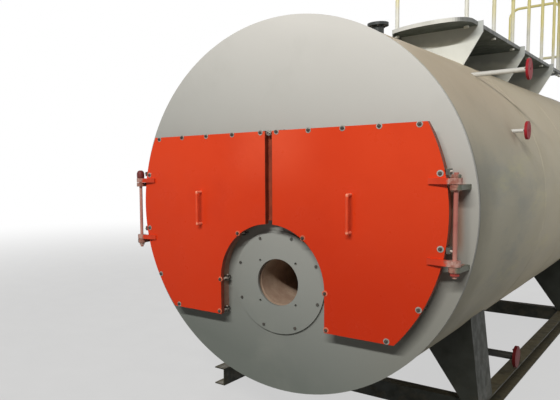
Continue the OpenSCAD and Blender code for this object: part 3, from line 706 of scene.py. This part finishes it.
def door_fasteners():
    """Nuts that ride on the doors, and the swing bolts and lugs that stay on the boiler."""
    lugs = Shape("swing_bolt_lugs", "boiler", "smokebox_grey", DARK_BOLT)
    for side, body in ((1, "door_right"), (-1, "door_left")):
        nuts = Shape("nuts_" + body, body, "hinge_grey")
        for k, (x, z, out_x, out_z) in enumerate(DOOR_BOLTS):
            spot = Vector((side * x, 0, AXIS_Z + z))
            out = Vector((side * out_x, 0, out_z)).normalized()
            beside_arch = out_x < 0
            washer_finish = WASHER if beside_arch else ZINC
            face = at_depth(spot, DOOR_FACE)
            fastener(nuts, face, FORWARD, DOOR_NUT_R, washer_finish, DARK_BOLT, DOOR_NUT_TURN * k)
            swing_bolt(lugs, spot, out)
            if out_x > 0.95:
                rim_lug(lugs, spot, out)
        nuts.done()
    lugs.done()


# Height of the clip above the shell's axis, its stud, and where its washer and nut sit on it
CLIP_Z = 0.434
CLIP_STUD_R, CLIP_STUD_LENGTH = 0.006, 0.048
CLIP_WASHER_R, CLIP_WASHER_T, CLIP_WASHER_AT = 0.0155, 0.004, 0.030
CLIP_NUT_R, CLIP_NUT_H = 0.0115, 0.010


def seam_clip():
    """Clip on the middle post that holds both doors at the top of their seam."""
    clip = Shape("seam_clip", "boiler", "hinge_grey")
    foot = Vector((0, FRAME_FACE, AXIS_Z + CLIP_Z))
    washer = foot + FORWARD * CLIP_WASHER_AT
    clip.rod(foot, foot + FORWARD * CLIP_STUD_LENGTH, CLIP_STUD_R, DARK_BOLT)
    clip.washer(washer, FORWARD, CLIP_WASHER_R, CLIP_STUD_R, CLIP_WASHER_T, ZINC)
    clip.nut(washer + FORWARD * CLIP_WASHER_T, FORWARD, CLIP_NUT_R, CLIP_NUT_H, ZINC)
    clip.done()


# Hinge hardware: the pin's passage, washers, nuts, the pin's lower end, and the left pin's cap
PIN_BORE = 0.0106
HINGE_WASHER_T, HINGE_WASHER_TOP_R, HINGE_WASHER_FOOT_R = 0.003, 0.025, 0.024
TOP_NUT_R, TOP_NUT_H, TOP_NUT_TURN = 0.021, 0.014, 0.3
FOOT_NUT_R, FOOT_NUT_LEFT_R, FOOT_NUT_H, FOOT_NUT_TURN = 0.022, 0.017, 0.015, 0.1
PIN_END_R, PIN_END_FROM, PIN_END_TO = 0.010, 0.017, 0.030
CAP_PROFILE = [
    (PIN_BORE, 0), (0.023, 0), (0.026, 0.004), (0.026, 0.030), (0.022, 0.042), (0.013, 0.050), (0, 0.052),
]


def hinge_hardware():
    """Washers and nuts at both ends of the hinge pins; the left pin carries a cap on top."""
    hinges = Shape("hinge_nuts", "boiler", "pin_red")
    for side in (-1, 1):
        top = Vector((side * PIN_X, PIN_Y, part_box("arm_right_upper")[1].z))
        foot = Vector((side * PIN_X, PIN_Y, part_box("bracket_right_lower")[0].z))
        hinges.washer(top, UP, HINGE_WASHER_TOP_R, PIN_BORE, HINGE_WASHER_T, BRACKET)
        hinges.washer(foot, -UP, HINGE_WASHER_FOOT_R, PIN_BORE, HINGE_WASHER_T, BRACKET)
        above, below = top + UP * HINGE_WASHER_T, foot - UP * HINGE_WASHER_T
        if side > 0:
            hinges.nut(above, UP, TOP_NUT_R, TOP_NUT_H, BRACKET, TOP_NUT_TURN)
            hinges.nut(below, -UP, FOOT_NUT_R, FOOT_NUT_H, NUT_RED, FOOT_NUT_TURN)
        else:
            hinges.turned(above, UP, CAP_PROFILE, RED_CAP, 28)
            hinges.nut(below, -UP, FOOT_NUT_LEFT_R, FOOT_NUT_H, PIN_END, FOOT_NUT_TURN)
        hinges.rod(foot - UP * PIN_END_FROM, foot - UP * PIN_END_TO, PIN_END_R, PIN_END)
    hinges.done()


# Bolt circle of the burner plate, its first bolt's angle, and the bolts' washers and heads
BURNER_CIRCLE_R, BURNER_BOLTS, BURNER_FIRST = 0.283, 8, 25.0
BURNER_WASHER_R, BURNER_WASHER_BORE, BURNER_WASHER_T = 0.0125, 0.004, 0.0015
BURNER_HEAD_R, BURNER_HEAD_H, BURNER_HEAD_TURN = 0.0095, 0.006, 0.4


def burner_bolts():
    """Painted washers and dark heads of the bolts round the burner plate."""
    burner = Shape("burner_plate_bolts", "boiler", "plate_grey")
    for k in range(BURNER_BOLTS):
        a = math.radians(BURNER_FIRST + 360 / BURNER_BOLTS * k)
        x, z = BURNER_CIRCLE_R * math.cos(a), BURNER_CIRCLE_R * math.sin(a)
        at = Vector((x, BURNER_FACE, BURNER_Z + z))
        burner.washer(at, FORWARD, BURNER_WASHER_R, BURNER_WASHER_BORE, BURNER_WASHER_T, PLATE)
        head = at + FORWARD * BURNER_WASHER_T
        burner.nut(head, FORWARD, BURNER_HEAD_R, BURNER_HEAD_H, DARK_BOLT, BURNER_HEAD_TURN * k)
    burner.done()


# Flanges: piece, slot, box, facing, bolt circle, bolts, nut radius, thickness, first bolt's angle
FLANGES = [
    ("bolts_flange_upper", "flange_red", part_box("side_flange_upper"), RIGHT, 0.045, 4, 0.008, 0.015, 45),
    ("bolts_flange_lower", "flange_red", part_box("side_flange_lower"), RIGHT, 0.036, 4, 0.007, 0.015, 45),
    ("bolts_flange_drain", "flange_red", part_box("drain_flange"), RIGHT, 0.058, 8, 0.010, 0.020, 22.5),
    ("bolts_nozzle", "dark_fitting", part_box("top_nozzle"), UP, 0.056, 8, 0.008, 0.020, 22.5),
    ("bolts_flue", "dark_fitting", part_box("flue_outlet"), BACK, 0.208, 16, 0.010, 0.012, 11.25),
]


def flange_bolts(name, slot, box, axis, circle_r, count, r, thick, first):
    """Nuts on the rear side of a flange, each with the end of its stud."""
    shape = Shape(name, "boiler", slot)
    side = axis.orthogonal().normalized()
    other = axis.cross(side)
    for k in range(count):
        a = math.radians(first) + 2 * math.pi * k / count
        spot = face_middle(*box, axis) + (side * math.cos(a) + other * math.sin(a)) * circle_r
        shape.nut(spot - axis * (thick + 0.7 * r), axis, r, 0.7 * r, DARK_BOLT, a)
        shape.rod(spot - axis * (thick + 1.1 * r), spot - axis * (thick + 0.6 * r), 0.5 * r, DARK_BOLT)
    shape.done()


# Weld beads: the radius that each runs round at, and the radius of the bead itself
FLUE_R, FLUE_BEAD, FLUE_BEAD_OUT = 0.184, 0.004, 0.001
SIDE_PIPES, SIDE_BEAD = (("side_pipe_upper", 0.015), ("side_pipe_lower", 0.011)), 0.0028
DRAIN_R, DRAIN_BEAD = 0.026, 0.003
BEAD_INSET = 0.002


def weld_beads():
    """Beads round the flue outlet on the rear plate and behind the flanges of the pipes."""
    welds = Shape("weld_beads", "boiler", "jacket_sheet")
    flue_low, flue_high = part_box("flue_outlet")
    flue = (flue_low + flue_high) / 2
    welds.bead(at_depth(flue, REAR_Y + FLUE_BEAD_OUT), BACK, FLUE_R, FLUE_BEAD, WELD, 1)
    for node, r in SIDE_PIPES:
        end = face_middle(*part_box(node), RIGHT)
        welds.bead(end - RIGHT * BEAD_INSET, RIGHT, r, SIDE_BEAD, WELD, 90 * r)
    pipe_low, pipe_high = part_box("drain_pipe")
    end = Vector((pipe_high.x - BEAD_INSET, (pipe_low.y + pipe_high.y) / 2, pipe_low.z + DRAIN_R))
    welds.bead(end, RIGHT, DRAIN_R, DRAIN_BEAD, WELD, 2)
    welds.done()


# Tube field of the tube plate as part.scad sets it out, from the shell's axis
TUBE_PITCH, ROW_PITCH = 0.108, 0.094
TUBE_ROWS, TUBE_COLUMNS = range(-7, 6), range(-9, 10)
TUBE_LOW, TUBE_HIGH = -0.628, 0.405
SHELL_INNER_R = JACKET_R - 0.050
SHELL_CLEAR, FURNACE_CLEAR, POST_CLEAR = 0.090, 0.466, 0.070
FURNACE_DROP = 0.443
TUBE_BORE, TUBE_R, TUBE_LENGTH, TUBE_END = 0.0255, 0.0295, 0.10, 0.004
TUBE_PROFILE = [
    (TUBE_BORE, TUBE_LENGTH), (TUBE_R, TUBE_LENGTH), (TUBE_R, 0.0005), (TUBE_R - 0.001, -TUBE_END),
    (TUBE_BORE + 0.001, -TUBE_END), (TUBE_BORE, 0.0),
]


def tube_ends():
    """Rolled ends of the fire tubes in the holes of the tube plate, in staggered rows."""
    tubes = Shape("tube_ends", "boiler", "boiler_steel")
    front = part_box("tube_plate")[0].y
    for row in TUBE_ROWS:
        for column in TUBE_COLUMNS:
            x = (column + (0 if row % 2 == 0 else 0.5)) * TUBE_PITCH
            z = row * ROW_PITCH
            in_shell = math.hypot(x, z) < SHELL_INNER_R - SHELL_CLEAR
            off_furnace = math.hypot(x, z + FURNACE_DROP) > FURNACE_CLEAR
            if in_shell and off_furnace and TUBE_LOW < z < TUBE_HIGH and abs(x) > POST_CLEAR:
                tubes.turned(Vector((x, front, AXIS_Z + z)), BACK, TUBE_PROFILE, BOILER_STEEL)
    tubes.done()


# Bands of the cladding: their places behind the front plate's face, their width and thickness
BAND_FIRST, BAND_PITCH, BANDS = 1.57, 1.03, 3
BAND_W, BAND_SINK, BAND_T, BAND_SOFT = 0.030, 0.0001, 0.0012, 0.001


def jacket_bands():
    """Flat bands round the shell."""
    bands = Shape("jacket_bands", "boiler", "jacket_sheet")
    low, high = JACKET_R + BAND_SINK, JACKET_R + BAND_T
    profile = [(low, 0), (high, BAND_SOFT), (high, BAND_W - BAND_SOFT), (low, BAND_W)]
    for k in range(BANDS):
        at = Vector((0, FRONT_Y + BAND_FIRST + BAND_PITCH * k, AXIS_Z))
        bands.turned(at, BACK, profile, JACKET, 240)
    bands.done()


# Rear cover: its bolt circle, and two grips with their distance from the middle and half height
COVER_CIRCLE_R, COVER_BOLTS, COVER_NUT_R = 0.385, 12, 0.015
GRIP_X, GRIP_HALF, GRIP_OUT, GRIP_R = 0.16, 0.07, 0.045, 0.007


def rear_cover_fittings():
    """Bolts round the rear cover and the two grips to lift it by."""
    cover = Shape("rear_cover_fittings", "boiler", "plate_grey")
    low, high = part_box("rear_cover")
    middle = Vector((0, high.y, (low.z + high.z) / 2))
    for k in range(COVER_BOLTS):
        a = 2 * math.pi * (k + 0.5) / COVER_BOLTS
        spot = middle + Vector((math.cos(a), 0, math.sin(a))) * COVER_CIRCLE_R
        fastener(cover, spot, BACK, COVER_NUT_R, ZINC, DARK_BOLT, a)
    for s in (-1, 1):
        grip = middle + RIGHT * s * GRIP_X
        for t in (-1, 1):
            foot = grip + UP * t * GRIP_HALF
            cover.rod(foot, foot + BACK * GRIP_OUT, GRIP_R, PLATE)
        reach = UP * (GRIP_HALF + GRIP_R)
        cover.rod(grip - reach + BACK * GRIP_OUT, grip + reach + BACK * GRIP_OUT, GRIP_R, PLATE)
    cover.done()


# Railing posts: tube radius, the side posts' places, and the inner front post's
POST_R = 0.014
SIDE_POST_FIRST, SIDE_POST_PITCH, SIDE_POSTS = 2.024, 0.575, 5
INNER_POST_X, INNER_POST_INSET = 0.6054, 0.0433
COLLAR_PROFILE = [(0.0142, 0), (0.0170, 0), (0.0170, 0.010), (0.0152, 0.014), (0.0142, 0.014)]


def post_feet():
    """Collars at the feet of the railing posts, on the walkway's floor."""
    feet = Shape("post_feet", "boiler", "rail_yellow")
    side_low, side_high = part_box("railing_right")
    front_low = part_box("railing_front")[0]
    rear_low, rear_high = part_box("railing_rear")
    side_x, rear_y = (side_low.x + side_high.x) / 2, (rear_low.y + rear_high.y) / 2
    posts = [(side_x, FRONT_Y + SIDE_POST_FIRST + SIDE_POST_PITCH * k) for k in range(SIDE_POSTS)]
    posts += [
        (side_x, side_high.y - POST_R),
        (front_low.x + POST_R, front_low.y + POST_R), (INNER_POST_X, front_low.y + INNER_POST_INSET),
        (rear_low.x + POST_R, rear_y), (rear_high.x - POST_R, rear_y),
    ]
    for x, y in posts:
        feet.turned(Vector((x, y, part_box("deck")[0].z + DECK_T)), UP, COLLAR_PROFILE, RAIL)
    feet.done()


door_fasteners()
seam_clip()
hinge_hardware()
burner_bolts()
for flange in FLANGES:
    flange_bolts(*flange)
weld_beads()
tube_ends()
jacket_bands()
rear_cover_fittings()
post_feet()


# Stage, lamps and camera

FLOOR_R, FLOOR_SIDES, FLOOR_DROP = 70, 96, 0.001
SENSOR_W = 36.0


def seen_rays(tree):
    """1 for the rays that see the background: from the camera, off gloss and through glass."""
    rays = tree.nodes.new("ShaderNodeLightPath")
    seen = rays.outputs["Is Camera Ray"]
    for kind in ("Is Glossy Ray", "Is Transmission Ray"):
        either = tree.nodes.new("ShaderNodeMath")
        either.operation = "MAXIMUM"
        tree.links.new(seen, either.inputs[0])
        tree.links.new(rays.outputs[kind], either.inputs[1])
        seen = either.outputs[0]
    return seen


def floor_material():
    """Pale plain floor that fades into the white background far from the boiler."""
    p = Paint("floor")
    p.colour(p.blend(p.noise(0.8, 4.0), (118, 116, 112), (112, 111, 107)))
    p.rough(p.noise(4.0), 0.7, 0.85)
    away = p.node("ShaderNodeVectorMath", operation="LENGTH")
    p.link(p.coord, away.inputs[0])
    fade = p.product(p.ramp(away.outputs["Value"], 4.0, 15.0, 0.58, 1.0), seen_rays(p.tree))
    glow = p.node("ShaderNodeEmission")
    glow.inputs["Color"].default_value = (1, 1, 1, 1)
    both = p.node("ShaderNodeMixShader")
    p.link(fade, both.inputs[0])
    p.link(p.bsdf.outputs[0], both.inputs[1])
    p.link(glow.outputs[0], both.inputs[2])
    p.link(both.outputs[0], p.tree.nodes["Material Output"].inputs["Surface"])
    return p.mat


def build_floor():
    """A large disc just below the boiler's feet."""
    ground = bpy.data.meshes.new("floor")
    turns = [2 * math.pi * i / FLOOR_SIDES for i in range(FLOOR_SIDES)]
    edge = [(FLOOR_R * math.cos(a), FLOOR_R * math.sin(a), 0) for a in turns]
    ground.from_pydata(edge, [], [list(range(FLOOR_SIDES))])
    ground.materials.append(floor_material())
    floor = bpy.data.objects.new("floor", ground)
    floor.location.z = -FLOOR_DROP
    bpy.context.scene.collection.objects.link(floor)


def build_world():
    """White for the rays that see the background, and a weak light for all others."""
    world = bpy.data.worlds.new("studio")
    bpy.context.scene.world = world
    world.use_nodes = True
    tree = world.node_tree
    tree.nodes.clear()
    pick = tree.nodes.new("ShaderNodeMixShader")
    tree.links.new(seen_rays(tree), pick.inputs[0])
    for k, (colour, strength) in enumerate((((0.96, 0.98, 1.0, 1), 0.08), ((1, 1, 1, 1), 1.0))):
        shade = tree.nodes.new("ShaderNodeBackground")
        shade.inputs["Color"].default_value = colour
        shade.inputs["Strength"].default_value = strength
        tree.links.new(shade.outputs[0], pick.inputs[1 + k])
    tree.links.new(pick.outputs[0], tree.nodes.new("ShaderNodeOutputWorld").inputs["Surface"])


def lamp(name, place, target, width, height, power, colour):
    light = bpy.data.lights.new(name, "AREA")
    light.shape = "RECTANGLE"
    light.size, light.size_y = width, height
    light.energy = power
    light.color = colour
    o = bpy.data.objects.new(name, light)
    o.location = place
    o.rotation_euler = (Vector(target) - Vector(place)).to_track_quat("-Z", "Y").to_euler()
    bpy.context.scene.collection.objects.link(o)


def build_lamps():
    """A wide strip behind the viewer, as in the photo, and weak wide lamps on the other sides."""
    warm, neutral = (1.0, 0.985, 0.96), (1.0, 0.99, 0.97)
    lamp("key", (1.7, -10.2, 6.5), (0.3, -1.6, 1.9), 5.5, 0.16, 780, warm)
    lamp("front", (0.9, -5.2, 6.6), (0.3, -2.4, 1.4), 5.0, 2.0, 20, neutral)
    lamp("rear", (-5.0, 9.0, 4.5), (0, 1.5, 1.4), 6.0, 4.0, 300, neutral)
    lamp("side", (5.6, 0.6, 3.0), (0.9, -0.2, 1.6), 5.0, 4.0, 48, neutral)


# Camera fitted to the photo by the rim of the plate, the doors, the burner plate and the shell's edges
EYE = Vector((1.8986, -5.5964, 1.650))
YAW, PITCH, ROLL = -0.711, -0.081, -0.016
FOCAL_PX, CENTRE_X, CENTRE_Y, IMAGE_W, IMAGE_H = 597.4, 191.0, 216.4, 560, 400


def build_camera():
    """The photo's camera; its shift stands for the photo being a crop."""
    look = Vector((math.sin(YAW) * math.cos(PITCH), math.cos(YAW) * math.cos(PITCH), math.sin(PITCH)))
    level = Vector((math.cos(YAW), -math.sin(YAW), 0))
    rise = level.cross(look)
    across = math.cos(ROLL) * level + math.sin(ROLL) * rise
    upright = math.cos(ROLL) * rise - math.sin(ROLL) * level
    turn = Matrix((across, upright, -look)).transposed().to_4x4()
    view = bpy.data.cameras.new("camera")
    view.sensor_fit = "HORIZONTAL"
    view.sensor_width = SENSOR_W
    view.lens = FOCAL_PX / IMAGE_W * SENSOR_W
    view.shift_x = (IMAGE_W / 2 - CENTRE_X) / IMAGE_W
    view.shift_y = (CENTRE_Y - IMAGE_H / 2) / IMAGE_W
    view.clip_end = 300
    camera = bpy.data.objects.new("camera", view)
    camera.matrix_world = Matrix.Translation(EYE) @ turn
    bpy.context.scene.collection.objects.link(camera)
    bpy.context.scene.camera = camera


build_floor()
build_world()
build_lamps()
build_camera()
bpy.context.scene.view_settings.view_transform = "Standard"
